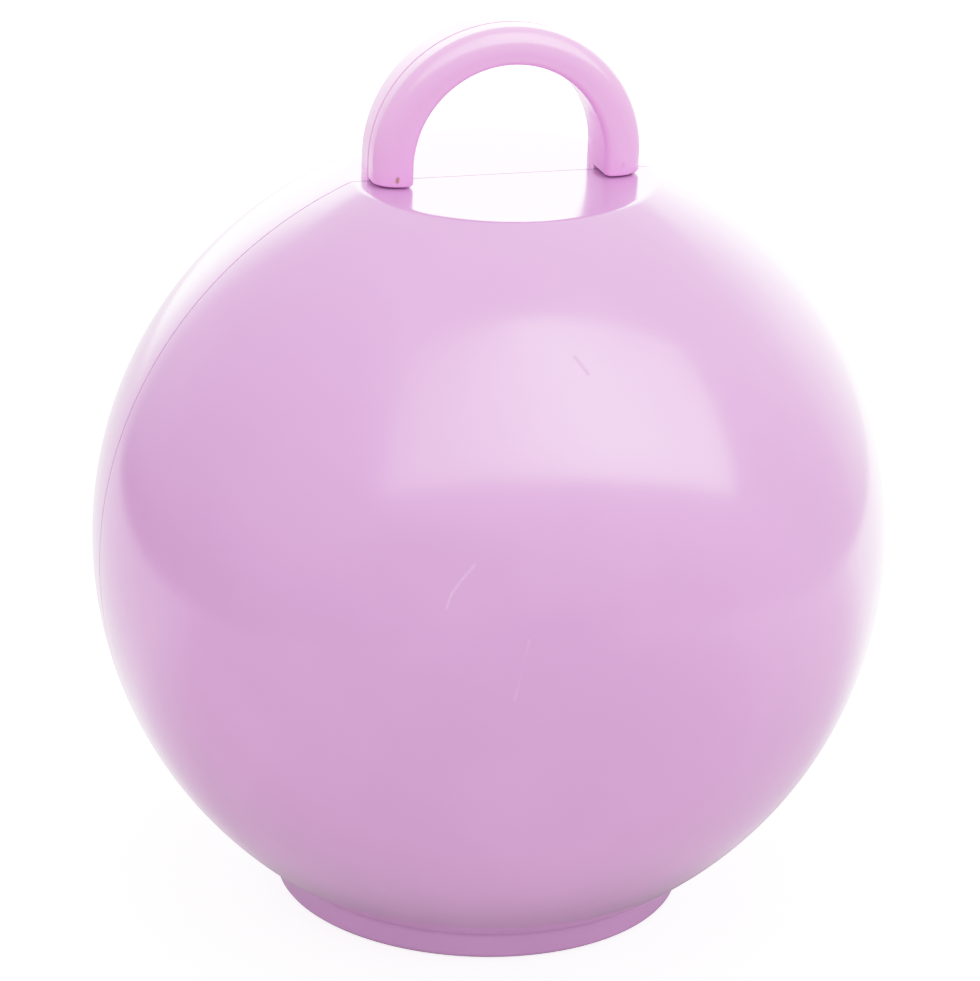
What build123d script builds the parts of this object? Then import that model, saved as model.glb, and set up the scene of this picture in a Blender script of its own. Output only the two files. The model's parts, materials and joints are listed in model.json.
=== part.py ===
# Balloon weight: a hollow ball in two half-shells, with an arched handle on its flat top, a ring foot
# and a cast core that makes it heavy. Millimetres, +Z up. The seam between the half-shells lies in the
# plane Y = 0, the front is -Y, and the origin is the centre of the circle that the foot stands on.

import os
from math import sqrt

from build123d import *

# Ball
ball_width = 50.0
side_offset = 0.95  # the side arc is drawn from this far beyond the axis, so the ball is taller than wide
wall = 1.8

# Flat top that carries the handle
top_width = 19.0
top_edge_radius = 1.25

# Ring foot
foot_width = 26.0
foot_height = 1.67
foot_wall = 2.0
foot_recess = 1.2  # the floor inside the ring stays clear of the table
foot_edge_radius = 0.4
foot_crease_radius = 0.3

# Seam: a lip on the inner half of the front shell's wall enters a rebate in the rear shell
lip_height = 1.2
lip_thickness = 0.8
seam_clearance = 0.1

# Handle: a half-ring on short straight legs
handle_width = 2.56  # across the middle of the section, in the plane of the arch
handle_depth = 3.8
handle_taper = 0.12  # each side of the section draws in this much towards the front and the rear
handle_outer_radius = 0.65
handle_inner_radius = 0.3
handle_margin = 1.02  # from the legs to the rim of the flat top
leg_height = 1.29
leg_end_rise = 0.12  # the legs stand on the rear shell, and their ends curve up to the front from the seam
leg_end_radius = 0.12

# Tenons under the legs, trapped in mortises that the two shells form between them
tenon_inset = 0.6
tenon_clearance = 0.1
anchor_step = 0.5
anchor_thickness = 1.2

# Core, seated on the floor and held down by webs inside the shells
ballast_height = 21.3
ballast_clearance = 0.3
ballast_edge_radius = 1.0
web_spacing = 20.0
web_thickness = 1.4
web_height = 8.0
web_reach = 4.5
web_clearance = 0.2

overrun = 1.0

# Ball and foot, worked out
ball_radius = ball_width / 2
side_radius = ball_radius + side_offset
top_radius = top_width / 2
foot_radius = foot_width / 2
foot_bore = foot_radius - foot_wall
equator_height = foot_height + sqrt(side_radius**2 - (foot_radius + side_offset) ** 2)
top_height = equator_height + sqrt(side_radius**2 - (top_radius + side_offset) ** 2)
floor_height = foot_recess + wall

# Handle and tenons, worked out
leg_offset = top_radius - handle_margin - handle_width / 2
arch_height = top_height + leg_height
tenon_width = handle_width - 2 * tenon_inset
tenon_depth = handle_depth - 2 * tenon_inset
anchor_width = tenon_width + 2 * anchor_step
anchor_depth = tenon_depth + 2 * anchor_step
anchor_top = top_height - wall - tenon_clearance
mortise_width = tenon_width + 2 * tenon_clearance
mortise_depth = tenon_depth + 2 * tenon_clearance
lip_gap = anchor_width + 2 * tenon_clearance
leg_places = ((-leg_offset, 0), (leg_offset, 0))

# Core and webs, worked out
ballast_top = floor_height + ballast_height
web_foot = ballast_top + web_clearance


# Distance from the axis to the side of the ball at a height, and at a depth under the outer skin
def side_reach(height, inset):
    return sqrt((side_radius - inset) ** 2 - (height - equator_height) ** 2) - side_offset


# Half outline between two heights, with the side of the ball as its outer edge
def side_outline(bottom, top, inset):
    middle = (bottom + top) / 2
    bottom_end = (side_reach(bottom, inset), bottom)
    top_end = (side_reach(top, inset), top)
    with BuildSketch(Plane.XZ) as half:
        with BuildLine():
            Line((0, bottom), bottom_end)
            ThreePointArc(bottom_end, (side_reach(middle, inset), middle), top_end)
            Polyline(top_end, (0, top), (0, bottom))
        make_face()
    return half.sketch


# Half outline of the ball at a depth under its outer skin
def wall_outline(inset):
    return side_outline(foot_recess + inset, top_height - inset, inset)


# Outer skin of the ball and its foot, as a half outline
with BuildSketch(Plane.XZ) as skin:
    crease = (foot_radius, foot_height)
    rim = (top_radius, top_height)
    with BuildLine():
        Polyline((0, foot_recess), (foot_bore, foot_recess), (foot_bore, 0), (foot_radius, 0), crease)
        ThreePointArc(crease, (ball_radius, equator_height), rim)
        Polyline(rim, (0, top_height), (0, foot_recess))
    make_face()
    fillet(skin.vertices().sort_by_distance(rim)[0], top_edge_radius)
    fillet(skin.vertices().sort_by_distance(crease)[0], foot_crease_radius)
    fillet(skin.vertices().group_by(Axis.Y)[0], foot_edge_radius)

# Space inside the shells, less the webs that stand over the core
web_wall = sqrt(side_reach(web_foot, wall) ** 2 - (web_spacing / 2) ** 2)
with BuildPart() as hollow:
    revolve(wall_outline(wall), axis=Axis.Z)
    for side in (-1, 1):
        with BuildSketch(Plane.YZ.offset(side * web_spacing / 2)):
            with BuildLine():
                Polyline(
                    (web_wall - web_reach, web_foot),
                    (ball_radius, web_foot),
                    (ball_radius, web_foot + web_height),
                    (web_wall, web_foot + web_height),
                    close=True,
                )
            make_face()
            mirror(about=Plane.YZ)
        extrude(amount=web_thickness / 2, both=True, mode=Mode.SUBTRACT)

with BuildPart() as front_shell:
    revolve(skin.sketch, axis=Axis.Z, revolution_arc=-180)
    lip = extrude(wall_outline(wall - lip_thickness), amount=-lip_height)
    mirror(lip, about=Plane.YZ)
    add(hollow.part, mode=Mode.SUBTRACT)
    with BuildSketch(Plane.XY.offset(top_height - wall - overrun)):
        with Locations(*leg_places):
            Rectangle(mortise_width, mortise_depth)
            Rectangle(lip_gap, lip_height + overrun, align=(Align.CENTER, Align.MIN))
    extrude(amount=wall + 2 * overrun, mode=Mode.SUBTRACT)

with BuildPart() as rear_shell:
    revolve(skin.sketch, axis=Axis.Z, revolution_arc=180)
    add(hollow.part, mode=Mode.SUBTRACT)
    rebate_inset = wall - lip_thickness - seam_clearance
    rebate = extrude(wall_outline(rebate_inset), amount=-lip_height - seam_clearance, mode=Mode.SUBTRACT)
    mirror(rebate, about=Plane.YZ, mode=Mode.SUBTRACT)
    with BuildSketch(Plane.XY.offset(top_height - wall - overrun)):
        with Locations(*leg_places):
            Rectangle(mortise_width, mortise_depth)
    extrude(amount=wall + 2 * overrun, mode=Mode.SUBTRACT)

with BuildPart() as handle:
    with BuildLine(Plane.XZ):
        Line((-leg_offset, top_height), (-leg_offset, arch_height))
        ThreePointArc((-leg_offset, arch_height), (0, arch_height + leg_offset), (leg_offset, arch_height))
        Line((leg_offset, arch_height), (leg_offset, top_height))
    with BuildSketch(Plane.XY.offset(top_height)) as section:
        outer_side = -leg_offset - handle_width / 2
        inner_side = -leg_offset + handle_width / 2
        with BuildLine():
            Polyline(
                (outer_side, 0),
                (outer_side + handle_taper, -handle_depth / 2),
                (inner_side - handle_taper, -handle_depth / 2),
                (inner_side, 0),
            )
            mirror(about=Plane.XZ)
        make_face()
        fillet(section.vertices().group_by(Axis.X)[-2], handle_inner_radius)
        fillet(section.vertices().group_by(Axis.X)[1], handle_outer_radius)
    sweep()
    with BuildSketch(Plane.YZ):
        seam_end = (0, top_height)
        front_end = (-handle_depth / 2, top_height + leg_end_rise)
        with BuildLine():
            TangentArc(seam_end, front_end, tangent=(-1, 0))
            Polyline(front_end, (-handle_depth / 2, top_height - overrun), (0, top_height - overrun), seam_end)
        make_face()
    extrude(amount=top_radius, both=True, mode=Mode.SUBTRACT)
    leg_ends = handle.faces().filter_by(GeomType.CYLINDER).sort_by(Axis.Z)[:2]
    fillet(leg_ends.edges() - leg_ends.edges().group_by(Axis.Y)[-1], leg_end_radius)
    with BuildSketch(Plane.XY.offset(anchor_top)):
        with Locations(*leg_places):
            Rectangle(tenon_width, tenon_depth)
    extrude(amount=arch_height - anchor_top)
    with BuildSketch(Plane.XY.offset(anchor_top)):
        with Locations(*leg_places):
            Rectangle(anchor_width, anchor_depth)
    extrude(amount=-anchor_thickness)

with BuildPart() as ballast:
    revolve(side_outline(floor_height, ballast_top, wall + ballast_clearance), axis=Axis.Z)
    fillet(ballast.edges().group_by(Axis.Z)[-1], ballast_edge_radius)

os.makedirs("parts", exist_ok=True)
pieces = {"front_shell": front_shell, "rear_shell": rear_shell, "handle": handle, "ballast": ballast}
for name, piece in pieces.items():
    piece.part.label = name
    export_step(piece.part, f"parts/{name}.step")
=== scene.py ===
import json
import math

import bmesh
import bpy
from mathutils import Matrix, Vector

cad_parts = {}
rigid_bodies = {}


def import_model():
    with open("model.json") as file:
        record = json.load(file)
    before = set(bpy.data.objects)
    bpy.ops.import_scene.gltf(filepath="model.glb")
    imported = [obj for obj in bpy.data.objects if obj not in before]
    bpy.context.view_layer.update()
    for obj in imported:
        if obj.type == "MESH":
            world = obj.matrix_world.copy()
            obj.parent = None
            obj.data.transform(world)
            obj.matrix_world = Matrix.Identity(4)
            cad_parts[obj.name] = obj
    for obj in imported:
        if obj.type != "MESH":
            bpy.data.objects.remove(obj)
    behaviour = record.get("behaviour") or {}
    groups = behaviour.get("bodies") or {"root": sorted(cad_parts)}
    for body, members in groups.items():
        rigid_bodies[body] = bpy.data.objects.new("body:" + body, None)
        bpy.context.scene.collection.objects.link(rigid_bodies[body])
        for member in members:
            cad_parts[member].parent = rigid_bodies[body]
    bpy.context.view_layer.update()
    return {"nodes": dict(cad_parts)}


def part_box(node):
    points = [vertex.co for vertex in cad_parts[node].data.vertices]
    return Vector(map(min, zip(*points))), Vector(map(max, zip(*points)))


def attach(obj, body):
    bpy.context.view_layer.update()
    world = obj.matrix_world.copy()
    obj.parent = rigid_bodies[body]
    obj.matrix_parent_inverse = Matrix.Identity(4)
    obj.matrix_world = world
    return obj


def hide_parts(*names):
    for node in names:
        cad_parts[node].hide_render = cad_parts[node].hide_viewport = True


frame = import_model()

tiny = 1e-6  # metres; points closer than this are one point


# Selecting and finishing

def freshStart():
    if bpy.context.object and bpy.context.object.mode != "OBJECT":
        bpy.ops.object.mode_set(mode="OBJECT")
    bpy.ops.object.select_all(action="DESELECT")


def choose(piece):
    freshStart()
    bpy.context.view_layer.objects.active = piece
    piece.select_set(True)


def takeNew(name):
    piece = bpy.context.object  # the primitive that was just added
    piece.name = name
    piece.data.name = name
    bpy.ops.object.transform_apply(location=True, rotation=True, scale=True)
    return piece


def openEdit(piece):
    choose(piece)
    bpy.ops.object.mode_set(mode="EDIT")
    bpy.ops.mesh.select_mode(type="VERT")


def pick(piece, kind, test):  # selects the verts, edges or faces that pass the test, and nothing else
    bpy.ops.mesh.select_mode(type={"verts": "VERT", "edges": "EDGE", "faces": "FACE"}[kind])
    bpy.ops.mesh.select_all(action="DESELECT")
    mesh = bmesh.from_edit_mesh(piece.data)
    for part in [part for part in getattr(mesh, kind) if test(part)]:
        part.select_set(True)
    mesh.select_flush_mode()
    bmesh.update_edit_mesh(piece.data)


def near(place, x, z):
    return abs(place.x - x) < tiny and abs(place.z - z) < tiny


def draw(dx, dy, dz):  # pulls what is selected along, as new edges or faces
    bpy.ops.mesh.extrude_region_move(TRANSFORM_OT_translate={"value": (dx, dy, dz)})


def joinDoubles():
    bpy.ops.mesh.select_all(action="SELECT")
    bpy.ops.mesh.remove_doubles(threshold=tiny)


def tidyMesh():
    joinDoubles()
    bpy.ops.mesh.normals_make_consistent(inside=False)


def applyAll(piece):
    choose(piece)
    for change in list(piece.modifiers):
        bpy.ops.object.modifier_apply(modifier=change.name)


def smoothFaces(piece, degrees):  # edges that turn more than this stay sharp
    choose(piece)
    bpy.ops.object.shade_smooth_by_angle(angle=math.radians(degrees))
    even = piece.modifiers.new("evenNormals", "WEIGHTED_NORMAL")
    even.keep_sharp = True
    applyAll(piece)


# Half-shells: an outline in the plane of the seam, spun half a turn

shell = {
    "ballRadius": 0.025,
    "sideOffset": 0.00095,  # the side arc is drawn from beyond the axis
    "wall": 0.0018,
    "topRadius": 0.0095,
    "rimRadius": 0.00125,
    "footRadius": 0.013,
    "footHeight": 0.00167,
    "footBore": 0.011,
    "footRecess": 0.0012,
    "footEdge": 0.0004,
    "creaseReach": 0.00018,
    "seamHalf": 0.000055,  # half the width of the open line along the seam
    "seamDepth": 0.00016,
    "arcSteps": 200,
    "rimSteps": 10,
    "innerSteps": 48,
    "creaseSteps": 4,
    "footSteps": 6,
    "spinSteps": 160,
    "sharpDegrees": 35,
}
sideRadius = shell["ballRadius"] + shell["sideOffset"]
equator = shell["footHeight"] + math.sqrt(sideRadius**2 - (shell["footRadius"] + shell["sideOffset"]) ** 2)
topHeight = equator + math.sqrt(sideRadius**2 - (shell["topRadius"] + shell["sideOffset"]) ** 2)
arcCentre = (-shell["sideOffset"], 0, equator)

# The rounded rim touches both the flat top and the side arc
rimHeight = topHeight - shell["rimRadius"]
rimReach = math.sqrt((sideRadius - shell["rimRadius"]) ** 2 - (rimHeight - equator) ** 2)
rimReach -= shell["sideOffset"]
rimAngle = math.atan2(rimHeight - equator, rimReach + shell["sideOffset"])
sideTop = equator + sideRadius * math.sin(rimAngle)


def reachAt(height, inset):  # from the axis to the side of the ball
    return math.sqrt((sideRadius - inset) ** 2 - (height - equator) ** 2) - shell["sideOffset"]


def angleAt(height, inset):  # up the side arc, from the equator
    return math.atan2(height - equator, reachAt(height, inset) + shell["sideOffset"])


def addPoint(reach, height, name="front_shell_skin"):
    bpy.ops.mesh.primitive_plane_add(size=tiny, location=(reach, 0, height))
    if bpy.context.object.mode == "OBJECT":
        takeNew(name)
        bpy.ops.object.mode_set(mode="EDIT")
        bpy.ops.mesh.select_all(action="SELECT")
    bpy.ops.mesh.merge(type="CENTER")


def addSideArc(low, high, inset, steps):  # one point, drawn up the side of the ball
    addPoint(reachAt(low, inset), low)
    turn = angleAt(high, inset) - angleAt(low, inset)
    bpy.ops.mesh.spin(steps=steps, angle=turn, center=arcCentre, axis=(0, 1, 0))


def roundCorner(piece, x, z, reach, steps):
    pick(piece, "verts", lambda vert: near(vert.co, x, z))
    bpy.ops.mesh.bevel(offset=reach, offset_type="OFFSET", segments=steps, affect="VERTICES")


def spinHalf():
    bpy.ops.mesh.spin(steps=shell["spinSteps"], angle=math.pi, center=(0, 0, 0), axis=(0, 0, 1))


def openEdge(edge):
    return len(edge.link_faces) == 1


def buildFrontShell():
    s = shell
    freshStart()
    addSideArc(s["footHeight"], sideTop, 0, s["arcSteps"])
    piece = bpy.context.object
    # The outer outline goes on to the axis, over the rim and the flat top, and round the ring foot
    pick(piece, "verts", lambda vert: near(vert.co, reachAt(sideTop, 0), sideTop))
    bpy.ops.mesh.spin(
        steps=s["rimSteps"], angle=math.pi / 2 - rimAngle, center=(rimReach, 0, rimHeight), axis=(0, 1, 0))
    draw(-rimReach, 0, 0)
    pick(piece, "verts", lambda vert: near(vert.co, s["footRadius"], s["footHeight"]))
    draw(0, 0, -s["footHeight"])
    draw(s["footBore"] - s["footRadius"], 0, 0)
    draw(0, 0, s["footRecess"])
    draw(-s["footBore"], 0, 0)
    roundCorner(piece, s["footRadius"], s["footHeight"], s["creaseReach"], s["creaseSteps"])
    for reach in (s["footRadius"], s["footBore"]):
        roundCorner(piece, reach, 0, s["footEdge"], s["footSteps"])
    bpy.ops.mesh.select_all(action="SELECT")
    spinHalf()
    joinDoubles()
    # A fine bevel along the seam: the edge steps back, and a ring inside it lies in the plane of the seam
    pick(piece, "edges", openEdge)
    bpy.ops.transform.translate(value=(0, -s["seamHalf"], 0))
    draw(0, s["seamHalf"], 0)
    shrink = 1 - s["seamDepth"] / s["ballRadius"]
    pick(piece, "verts", lambda vert: abs(vert.co.y) < tiny and vert.co.z > s["footRecess"] + tiny)
    bpy.ops.transform.resize(value=(shrink, 1, shrink), center_override=(0, 0, equator))
    # The inner outline is the same side arc, one wall further in
    bpy.ops.mesh.select_all(action="DESELECT")
    innerFloor = s["footRecess"] + s["wall"]
    innerTop = topHeight - s["wall"]
    addSideArc(innerFloor, innerTop, s["wall"], s["innerSteps"])
    for height in (innerTop, innerFloor):
        reach = reachAt(height, s["wall"])
        pick(piece, "verts", lambda vert: near(vert.co, reach, height))
        draw(-reach, 0, 0)
    bpy.ops.mesh.select_linked()
    spinHalf()
    joinDoubles()
    pick(piece, "edges", openEdge)
    bpy.ops.mesh.fill(use_beauty=True)
    tidyMesh()
    bpy.ops.object.mode_set(mode="OBJECT")
    smoothFaces(piece, s["sharpDegrees"])
    return piece


def turnedCopy(piece, name):  # the rear shell is the front one, half a turn round the axis
    choose(piece)
    bpy.ops.object.duplicate(linked=False)
    copy = bpy.context.object
    copy.name = name
    copy.data.name = name
    openEdit(copy)
    bpy.ops.mesh.select_all(action="SELECT")
    bpy.ops.transform.rotate(value=math.pi, orient_axis="Z", center_override=(0, 0, 0))
    bpy.ops.object.mode_set(mode="OBJECT")
    return copy


frontShell = buildFrontShell()
rearShell = turnedCopy(frontShell, "rear_shell_skin")
print("shells:", len(frontShell.data.polygons), "faces each")


# Handle: one side of it, spun and drawn down, then mirrored

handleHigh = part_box("handle")[1]

handle = {
    "width": 0.00256,
    # Depth from the seam, taper of the inner side, and the corners, each a quarter of an ellipse
    "front": {"depth": 0.00212, "taper": 0.00012, "outer": (0.0018, 0.0011), "inner": (0.0004, 0.0005)},
    "rear": {"depth": 0.0019, "taper": 0.00006, "outer": (0.0004, 0.0004), "inner": (0.0003, 0.0003)},
    "lineReach": 0.00012,  # the fine line round the outer side of the handle
    "lineDepth": 0.00009,
    "archThin": 0.08,  # the top of the arch is this share thinner than the legs
    "outerRadius": handleHigh.x,
    "archHeight": handleHigh.z - handleHigh.x,
    "endRadius": 0.0003,
    "endGap": 0.00006,  # under the front half of a leg
    "endRise": 0.0002,  # and the end curves up this much more towards the seam
    "cornerSteps": 12,
    "arcSteps": 64,
    "endSteps": 5,
    "sharpDegrees": 30,
}


def cornerPoints(half, side, corner, taper):  # from the face of the section to one side (-1 inner, 1 outer)
    middle = handle["width"] / 2 - taper - corner[0]
    turns = [math.pi / 2 * step / handle["cornerSteps"] for step in range(handle["cornerSteps"] + 1)]
    return [(side * (middle + corner[0] * math.sin(turn)),
             half["depth"] - corner[1] * (1 - math.cos(turn))) for turn in turns]


def sectionPoints(half):  # across one half of the section, from the fine line to the inner side
    edge = handle["width"] / 2
    outer = cornerPoints(half, 1, half["outer"], 0)
    inner = cornerPoints(half, -1, half["inner"], half["taper"])
    line = [(edge - handle["lineDepth"], 0), (edge, handle["lineReach"])]
    return [*line, *reversed(outer), *inner, (-edge, 0)]


def spinSection(half, side, legX):  # a quarter of the arch, in front of the seam (-1) or behind it (1)
    points = sectionPoints(half)
    addPoint(legX + points[0][0], handle["archHeight"], "handle_loop")
    for (fromX, fromY), (toX, toY) in zip(points, points[1:]):
        draw(toX - fromX, side * (toY - fromY), 0)
    bpy.ops.mesh.select_linked()
    bpy.ops.mesh.spin(
        steps=handle["arcSteps"], angle=math.pi / 2, center=(0, 0, handle["archHeight"]), axis=(0, 1, 0))
    bpy.ops.mesh.select_all(action="DESELECT")


def onSide(edge, side):
    return any(vert.co.y * side > tiny for vert in edge.verts)


def rightOfMiddle(edge):
    return all(vert.co.x > tiny for vert in edge.verts)


def legRim(piece, side):  # the open edges at the top of a leg, in its front half (-1) or rear half (1)
    def found(edge):
        level = all(abs(vert.co.z - handle["archHeight"]) < tiny and vert.co.x > 0 for vert in edge.verts)
        return level and onSide(edge, side)
    pick(piece, "edges", found)


def thinArch(piece, legX):  # narrows the section towards the top of the arch
    mesh = bmesh.from_edit_mesh(piece.data)
    for vert in mesh.verts:
        rise = vert.co.z - handle["archHeight"]
        reach = math.hypot(vert.co.x, rise)
        share = 1 - handle["archThin"] * (rise / reach) ** 2 * (reach - legX) / reach
        vert.co.x *= share
        vert.co.z = handle["archHeight"] + rise * share
    bmesh.update_edit_mesh(piece.data)


def endFrontLeg(piece, legX):  # a rounded end that curves up towards the seam
    h = handle
    legEnd = topHeight + h["endRadius"]
    legRim(piece, -1)
    draw(0, 0, legEnd - h["archHeight"])
    before = 0
    for step in range(1, h["endSteps"] + 1):
        angle = math.pi / 2 * step / h["endSteps"]
        draw(0, 0, h["endRadius"] * (math.sin(before) - math.sin(angle)))
        was, inset = [h["endRadius"] * (1 - math.cos(turn)) for turn in (before, angle)]
        shrink = [(size - inset) / (size - was) for size in (h["width"] / 2, h["front"]["depth"])]
        bpy.ops.transform.resize(value=(*shrink, 1), center_override=(legX, 0, 0))
        before = angle
    mesh = bmesh.from_edit_mesh(piece.data)
    for vert in mesh.verts:
        share = max(0, legEnd - vert.co.z) / h["endRadius"]
        vert.co.z += share * (h["endGap"] + h["endRise"] * (1 + vert.co.y / h["front"]["depth"]))
    bmesh.update_edit_mesh(piece.data)


def closeLegEnd(piece):  # a face under the front half, one under the rear half, and the step between them
    seamEnd = topHeight + handle["endGap"] + handle["endRise"]
    for side, height in ((-1, seamEnd), (1, topHeight)):
        pick(piece, "verts", lambda vert: abs(vert.co.y) < tiny and abs(vert.co.z - height) < tiny)
        bpy.ops.mesh.edge_face_add()

        def found(edge):  # the edge just made, and the open ones on its side
            return not edge.link_faces or openEdge(edge) and rightOfMiddle(edge) and onSide(edge, side)
        pick(piece, "edges", found)
        bpy.ops.mesh.edge_face_add()

    def inSeam(edge):
        return openEdge(edge) and rightOfMiddle(edge) and all(abs(vert.co.y) < tiny for vert in edge.verts)
    pick(piece, "edges", inSeam)
    bpy.ops.mesh.edge_face_add()


def buildHandle():
    h = handle
    legX = h["outerRadius"] - h["width"] / 2
    freshStart()
    spinSection(h["front"], -1, legX)
    piece = bpy.context.object
    spinSection(h["rear"], 1, legX)
    thinArch(piece, legX)
    endFrontLeg(piece, legX)
    # The rear half of the leg goes straight down to the flat top
    legRim(piece, 1)
    draw(0, 0, topHeight + h["endRadius"] - h["archHeight"])
    draw(0, 0, -h["endRadius"])
    joinDoubles()
    closeLegEnd(piece)
    bpy.ops.object.mode_set(mode="OBJECT")
    mirror = piece.modifiers.new("halves", "MIRROR")
    mirror.use_axis = (True, False, False)
    mirror.merge_threshold = tiny
    applyAll(piece)
    openEdit(piece)
    tidyMesh()
    bpy.ops.object.mode_set(mode="OBJECT")
    smoothFaces(piece, h["sharpDegrees"])
    return piece


handleLoop = buildHandle()
print("handle:", len(handleLoop.data.polygons), "faces")


# Shader maths

class Wire:  # one output socket; sums on it add Math nodes
    def __init__(self, tree, socket):
        self.tree = tree
        self.socket = socket

    def node(self, kind, settings, sockets, out=0):
        made = self.tree.nodes.new("ShaderNode" + kind)
        for key, value in settings.items():
            setattr(made, key, value)
        for key, value in sockets.items():
            if isinstance(value, Wire):
                self.tree.links.new(value.socket, made.inputs[key])
            else:
                made.inputs[key].default_value = value
        return Wire(self.tree, made.outputs[out])

    def sum(self, operation, first, second):
        return self.node("Math", {"operation": operation}, {0: first, 1: second})

    def __add__(self, other):
        return self.sum("ADD", self, other)

    def __radd__(self, other):
        return self.sum("ADD", other, self)

    def __sub__(self, other):
        return self.sum("SUBTRACT", self, other)

    def __rsub__(self, other):
        return self.sum("SUBTRACT", other, self)

    def __mul__(self, other):
        return self.sum("MULTIPLY", self, other)

    def __rmul__(self, other):
        return self.sum("MULTIPLY", other, self)

    def feed(self, shader, name):
        self.tree.links.new(self.socket, shader.inputs[name])


def newMaterial(name, constants):
    made = bpy.data.materials.new(name)
    made.use_nodes = True
    tree = made.node_tree
    shader = tree.nodes["Principled BSDF"]
    for key, value in constants.items():
        shader.inputs[key].default_value = value
    place = Wire(tree, tree.nodes.new("ShaderNodeTexCoord").outputs["Object"])
    return made, shader, place


noiseMean = 0.5
patchEdges = (0.35, 0.65)  # noise below the first is one tone, above the second the other


def noise(place, scale, detail, roughness=0.5):
    return place.node("TexNoise", {}, {
        "Vector": place, "Scale": scale, "Detail": detail, "Roughness": roughness})


def between(value, low, high, toLow, toHigh):  # a value's range stretched to another, without a step
    return value.node("MapRange", {"interpolation_type": "SMOOTHSTEP"}, {
        "Value": value, "From Min": low, "From Max": high, "To Min": toLow, "To Max": toHigh})


def mixTones(share, first, second):
    return share.node("Mix", {"data_type": "RGBA"}, {"Factor": share, 6: first, 7: second}, 2)


# Finishes

lilac = {
    "tone": (0.69, 0.38, 0.68, 1),
    "deepTone": (0.665, 0.362, 0.656, 1),
    "litHandleTone": (0.85, 0.45, 0.78, 1),  # painted light: a lighter copy of the same lilac, standing in for light that shines through the thin handle
    "litHandleDeepTone": (0.83, 0.435, 0.765, 1),
    "ior": 1.5,
    "cloudScale": 70,
    "cloudDetail": 3,
    "roughness": 0.17,
    "smudge": 0.035,  # how much the roughness varies
    "smudgeScale": 160,
    "smudgeDetail": 4,
    "smudgeGrain": 0.6,
    "peelScale": 420,  # the faint waviness of moulded plastic
    "peelDetail": 1,
    "peelDepth": 0.000002,
    "ballMarks": (  # fine scratches on the front
        {"tone": (0.4, 0.16, 0.4, 1), "share": 0.4, "width": 0.0002,
         "points": ((-0.00031, -0.01763, 0.04164), (0.0003, -0.01839, 0.04083))},
        {"tone": (0.85, 0.6, 0.85, 1), "share": 0.35, "width": 0.00012,
         "points": ((-0.00907, -0.02277, 0.02858), (-0.00878, -0.02269, 0.02941),
                    (-0.00815, -0.02269, 0.0303), (-0.00745, -0.02268, 0.03112))},
        {"tone": (0.85, 0.6, 0.85, 1), "share": 0.2, "width": 0.0001,
         "points": ((-0.00525, -0.02444, 0.02314), (-0.00446, -0.02438, 0.02686))},
    ),
    "handleMarks": (  # specks left by the mould at the ends of the legs
        {"tone": (0.35, 0.2, 0.05, 1), "share": 0.9, "width": 0.0002,
         "points": ((-0.00716, -0.0021, 0.04782), (-0.00714, -0.0021, 0.048))},
        {"tone": (0.6, 0.35, 0.4, 1), "share": 0.4, "width": 0.0002,
         "points": ((0.00712, -0.0021, 0.04805), (0.00718, -0.0021, 0.04825))},
    ),
}


def nearLine(place, start, end, width):  # 1 on the line between two points, and 0 a width away from it
    run = Vector(end) - Vector(start)
    offset = place.node("VectorMath", {"operation": "SUBTRACT"}, {0: place, 1: start})
    pace = run / run.length_squared
    along = offset.node("VectorMath", {"operation": "DOT_PRODUCT"}, {0: offset, 1: pace}, "Value")
    share = along.node("Clamp", {}, {"Value": along})
    foot = share.node("VectorMath", {"operation": "SCALE"}, {0: run, "Scale": share})
    gap = foot.node("VectorMath", {"operation": "DISTANCE"}, {0: offset, 1: foot}, "Value")
    return between(gap, 0, width, 1, 0)


def lilacPlastic(name, tone, deepTone, marks):
    made, shader, place = newMaterial(name, {"IOR": lilac["ior"]})
    clouds = between(noise(place, lilac["cloudScale"], lilac["cloudDetail"]), *patchEdges, 0, 1)
    base = mixTones(clouds, lilac[tone], lilac[deepTone])
    for mark in lilac[marks]:
        for start, end in zip(mark["points"], mark["points"][1:]):
            share = mark["share"] * nearLine(place, start, end, mark["width"])
            base = mixTones(share, base, mark["tone"])
    base.feed(shader, "Base Color")
    smudges = noise(place, lilac["smudgeScale"], lilac["smudgeDetail"], lilac["smudgeGrain"])
    (lilac["roughness"] + lilac["smudge"] * (smudges - noiseMean)).feed(shader, "Roughness")
    peel = noise(place, lilac["peelScale"], lilac["peelDetail"])
    bump = peel.node("Bump", {}, {"Strength": 1, "Distance": lilac["peelDepth"], "Height": peel})
    bump.feed(shader, "Normal")
    return made


cement = {
    "tone": (0.44, 0.43, 0.40, 1),
    "darkTone": (0.33, 0.32, 0.30, 1),
    "patchScale": 180,
    "patchDetail": 5,
    "roughness": 0.85,
    "grainScale": 1400,
    "grainDetail": 3,
    "grainShare": 0.1,  # how much the roughness varies
    "grainDepth": 0.00015,
}


def castCement():
    made, shader, place = newMaterial("cast_cement", {})
    patches = between(noise(place, cement["patchScale"], cement["patchDetail"]), *patchEdges, 0, 1)
    mixTones(patches, cement["tone"], cement["darkTone"]).feed(shader, "Base Color")
    grain = noise(place, cement["grainScale"], cement["grainDetail"])
    (cement["roughness"] + cement["grainShare"] * (grain - noiseMean)).feed(shader, "Roughness")
    grain.node("Bump", {}, {"Distance": cement["grainDepth"], "Height": grain}).feed(shader, "Normal")
    return made


def dress(piece, material):
    piece.data.materials.clear()
    piece.data.materials.append(material)


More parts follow.
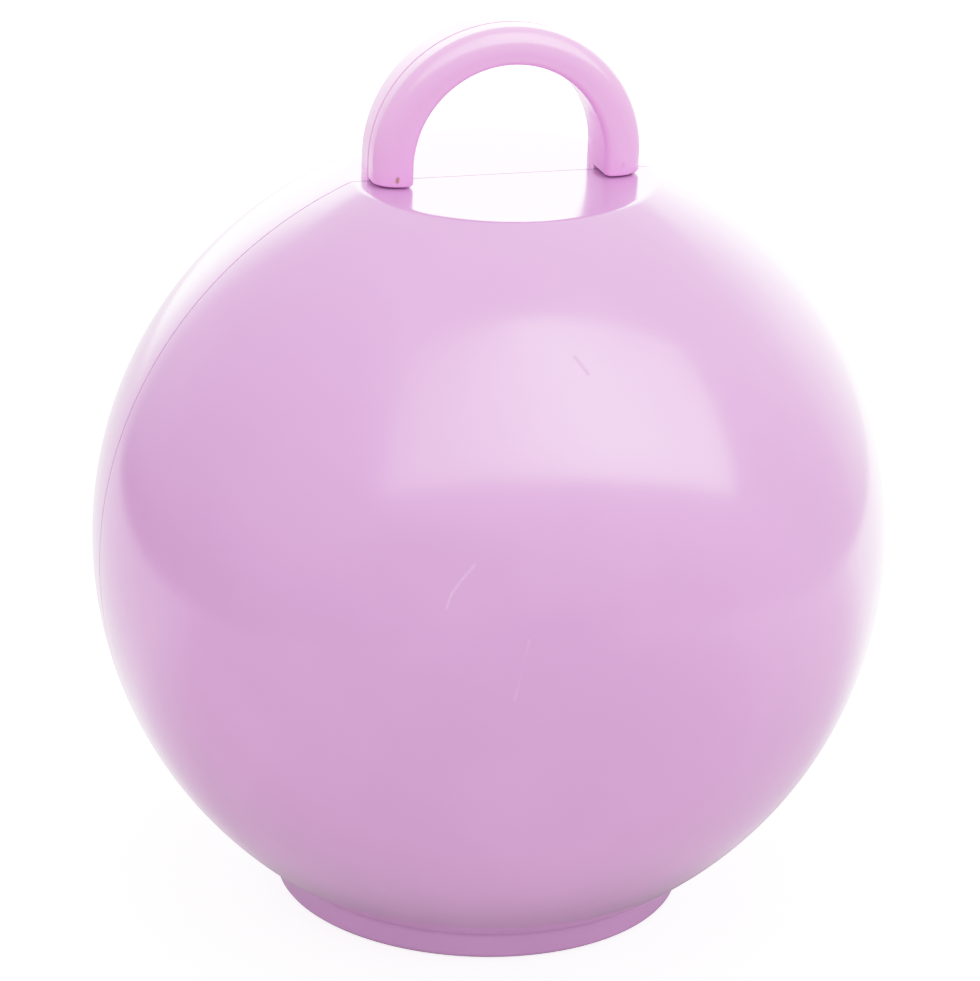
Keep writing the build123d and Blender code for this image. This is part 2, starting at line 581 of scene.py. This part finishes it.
ballPlastic = lilacPlastic("lilac_plastic", "tone", "deepTone", "ballMarks")
# The handle's plastic is the same lilac made lighter: painted light for the light that comes through the
# thin handle
litHandlePlastic = lilacPlastic("lit_handle_lilac_plastic", "litHandleTone", "litHandleDeepTone", "handleMarks")
for piece, node, plastic in (
        (frontShell, "front_shell", ballPlastic),
        (rearShell, "rear_shell", ballPlastic),
        (handleLoop, "handle", litHandlePlastic)):
    dress(piece, plastic)
    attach(piece, "root")
    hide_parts(node)
dress(frame["nodes"]["ballast"], castCement())
print("materials: done")


# Floor, light cards and camera

studio = {
    "ballCentre": Vector((0, 0, 0.02355)),
    "floorSize": 12,
    "floorHeight": -0.00005,  # a hair under the foot
    "floorTone": (0.95, 0.95, 0.95, 1),
    "floorFinish": {"Roughness": 0.9, "Specular IOR Level": 0.1, "Emission Strength": 1},
    "floorGlow": 0.8,  # lifts the shadow under the part
    "bounceTone": (0.78, 0.78, 0.74, 1),  # what the floor gives the part
    "roomLight": 1.13,
    "roomSide": 0.14,  # more light from the right
    "glossLevel": 1.05,  # the room as the gloss mirrors it: at eye level, overhead, to the right and below
    "glossRise": 1.9,
    "glossSide": 0.4,
    "glossLow": 0.25,
    "glossRight": 1.1,
    "glossFade": (-0.2, 0.02),  # from what is below to what is above
    "tableLow": Vector((-0.1, -0.228, -0.0001)),  # the stretch of floor that the gloss mirrors
    "tableHigh": Vector((0.122, 0.35, -0.0001)),
    "tableGrid": (64, 160),
    "tableGlow": ((-0.1, 0.75), (-0.02, 0.65), (0.03, 0.9), (0.122, 1.9)),  # along X, and brightness
    "tableRear": ((0, 0), (0.02, 0.8), (0.06, 0.75), (0.12, 0.7)),  # along Y, and what is added to it
    "shadeCentre": Vector((0, -0.004, 0)),
    "tableShade": ((0.01, 0.3), (0.0135, 0.6), (0.0175, 1.0)),  # distance from there, and share of the glow
    "panelCorners": ((-50, 26), (62, 14), (78, 45), (-68, 62)),  # azimuth from the front and height, degrees
    "panelGlow": ((-75, 3.0), (-38, 4.3), (-8, 5.6), (20, 7.2), (40, 7.0), (70, 5.4)),  # azimuth, brightness
    "dimCorners": ((-47, -7), (-7, -7), (-7, 18), (-47, 18)),
    "dimGlow": 0.8,
    "cardDistance": 0.8,
    "cardGrid": (24, 8),
    "wallGrid": (180, 90),
    "wallGlow": ((104, 1.9), (112, 2.4), (126, 3.0), (142, 3.8),  # azimuth and brightness
                 (156, 5.4), (188, 5.4), (200, 2.8), (210, 1.3)),
    "wallFade": ((-12, 0.5), (14, 1.0), (32, 1.05)),  # height and share
}


def direction(azimuth, height):
    a = math.radians(azimuth)
    e = math.radians(height)
    return Vector((math.cos(e) * math.sin(a), -math.cos(e) * math.cos(a), math.sin(e)))


def bearing(place):  # azimuth from the front, and height, in degrees, as seen from the ball
    aim = (place - studio["ballCentre"]).normalized()
    return math.degrees(math.atan2(aim.x, -aim.y)), math.degrees(math.asin(aim.z))


def levelAt(stops, place):  # straight lines from stop to stop
    for (first, low), (last, high) in zip(stops, stops[1:]):
        if place <= last:
            return low + (high - low) * max(0, place - first) / (last - first)
    return stops[-1][1]


def setCard(card, level):  # the card shows in the gloss alone; level gives its brightness at a place
    glow = card.data.color_attributes.new("glow", "FLOAT_COLOR", "POINT")
    for vert, spot in zip(card.data.vertices, glow.data):
        spot.color = (*[level(vert.co)] * 3, 1)
    made = bpy.data.materials.new(card.name)
    made.use_nodes = True
    tree = made.node_tree
    tree.nodes.clear()
    tone = tree.nodes.new("ShaderNodeAttribute")
    tone.attribute_name = "glow"
    shine = tree.nodes.new("ShaderNodeEmission")
    tree.links.new(tone.outputs["Color"], shine.inputs["Color"])
    tree.links.new(shine.outputs[0], tree.nodes.new("ShaderNodeOutputMaterial").inputs["Surface"])
    dress(card, made)
    card.visible_camera = False
    card.visible_shadow = False
    card.visible_diffuse = False


def flatCard(name, corners, level):
    freshStart()
    columns, rows = studio["cardGrid"]
    bpy.ops.mesh.primitive_grid_add(x_subdivisions=columns, y_subdivisions=rows, size=1)
    card = takeNew(name)
    reach = studio["cardDistance"]
    low, right, high, left = [studio["ballCentre"] + direction(*corner) * reach for corner in corners]
    for vert in card.data.vertices:
        across = vert.co.x + 1 / 2
        up = vert.co.y + 1 / 2
        vert.co = low.lerp(right, across).lerp(left.lerp(high, across), up)
    setCard(card, level)


def backWall():
    freshStart()
    segments, rings = studio["wallGrid"]
    bpy.ops.mesh.primitive_uv_sphere_add(
        segments=segments, ring_count=rings, radius=studio["cardDistance"], location=studio["ballCentre"])
    card = takeNew("back_wall")
    bpy.ops.object.mode_set(mode="EDIT")

    def outside(face):
        azimuth, height = bearing(face.calc_center_median())
        spans = ((studio["wallGlow"], azimuth % 360), (studio["wallFade"], height))
        return not all(stops[0][0] < place < stops[-1][0] for stops, place in spans)

    def level(place):
        azimuth, height = bearing(place)
        return levelAt(studio["wallGlow"], azimuth % 360) * levelAt(studio["wallFade"], height)
    pick(card, "faces", outside)
    bpy.ops.mesh.delete(type="FACE")
    bpy.ops.object.mode_set(mode="OBJECT")
    setCard(card, level)


def plainFloor():
    freshStart()
    bpy.ops.mesh.primitive_plane_add(size=studio["floorSize"], location=(0, 0, studio["floorHeight"]))
    floor = takeNew("floor")
    made, shader, place = newMaterial("pale_floor", studio["floorFinish"])
    lights = place.node("LightPath", {}, {}, "Is Diffuse Ray")
    seen = place.node("LightPath", {}, {}, "Is Camera Ray")
    mixTones(lights, studio["floorTone"], studio["bounceTone"]).feed(shader, "Base Color")
    (studio["floorGlow"] * seen).feed(shader, "Emission Color")
    made.cycles.emission_sampling = "NONE"
    dress(floor, made)
    floor.visible_glossy = False


def nearFloor():  # the floor as the gloss mirrors it
    low = studio["tableLow"]
    high = studio["tableHigh"]
    columns, rows = studio["tableGrid"]
    freshStart()
    bpy.ops.mesh.primitive_grid_add(
        x_subdivisions=columns, y_subdivisions=rows, size=1, location=(low + high) / 2)
    bpy.context.object.scale = (high.x - low.x, high.y - low.y, 1)

    def level(place):
        glow = levelAt(studio["tableGlow"], place.x) + levelAt(studio["tableRear"], place.y)
        return glow * levelAt(studio["tableShade"], (place - studio["shadeCentre"]).length)
    setCard(takeNew("near_floor"), level)


def panelLevel(place):
    return levelAt(studio["panelGlow"], bearing(place)[0])


def roomGlow():
    world = bpy.data.worlds.new("room")
    bpy.context.scene.world = world
    world.use_nodes = True
    tree = world.node_tree
    back = tree.nodes["Background"]
    back.inputs["Color"].default_value = (1, 1, 1, 1)
    aim = Wire(tree, tree.nodes.new("ShaderNodeTexCoord").outputs["Generated"])
    side = aim.node("SeparateXYZ", {}, {0: aim}, "X")
    rise = aim.node("SeparateXYZ", {}, {0: aim}, "Z")
    light = studio["roomLight"] + studio["roomSide"] * side
    overhead = studio["glossRise"] * aim.sum("MAXIMUM", rise, 0.0)
    above = studio["glossLevel"] + overhead + studio["glossSide"] * side
    below = studio["glossLow"] + studio["glossRight"] * aim.sum("MAXIMUM", side, 0.0)
    gloss = below + (above - below) * between(rise, *studio["glossFade"], 0, 1)
    ray = aim.node("LightPath", {}, {}, "Is Glossy Ray")
    (light + (gloss - light) * ray).feed(back, "Strength")


plainFloor()
nearFloor()
flatCard("overhead_panel", studio["panelCorners"], panelLevel)
flatCard("dim_card", studio["dimCorners"], lambda place: studio["dimGlow"])
backWall()
roomGlow()

view = {
    "distance": 0.2919,
    "azimuth": -16.4,
    "height": 22.02,
    "aim": Vector((0, 0, 0.02639)),
    "roll": 2.05,
    "lens": 169.25,
    "sensor": 36,
    "clipStart": 0.01,
    "whiteLevel": 1.6,  # bright tones roll off towards white
    "rollOff": ((0.65, 0.65), (0.8, 0.765), (1.0, 0.87), (1.25, 0.96)),
}


def addCamera():
    place = studio["ballCentre"] + direction(view["azimuth"], view["height"]) * view["distance"]
    look = (view["aim"] - place).to_track_quat("-Z", "Y").to_matrix()
    roll = Matrix.Rotation(math.radians(view["roll"]), 3, "Z")
    bpy.ops.object.camera_add(location=place, rotation=(look @ roll).to_euler())
    camera = bpy.context.object
    camera.data.lens = view["lens"]
    camera.data.sensor_width = view["sensor"]
    camera.data.clip_start = view["clipStart"]
    bpy.context.scene.camera = camera


def setTones():
    look = bpy.context.scene.view_settings
    look.view_transform = "Standard"
    look.use_curve_mapping = True
    tones = look.curve_mapping
    tones.white_level = [view["whiteLevel"]] * 3
    curve = tones.curves[3]  # the one for all three colours
    for place, level in view["rollOff"]:
        curve.points.new(place / view["whiteLevel"], level)
    for point in curve.points:
        point.handle_type = "VECTOR"
    tones.update()


freshStart()
addCamera()
setTones()
print("stage: done")
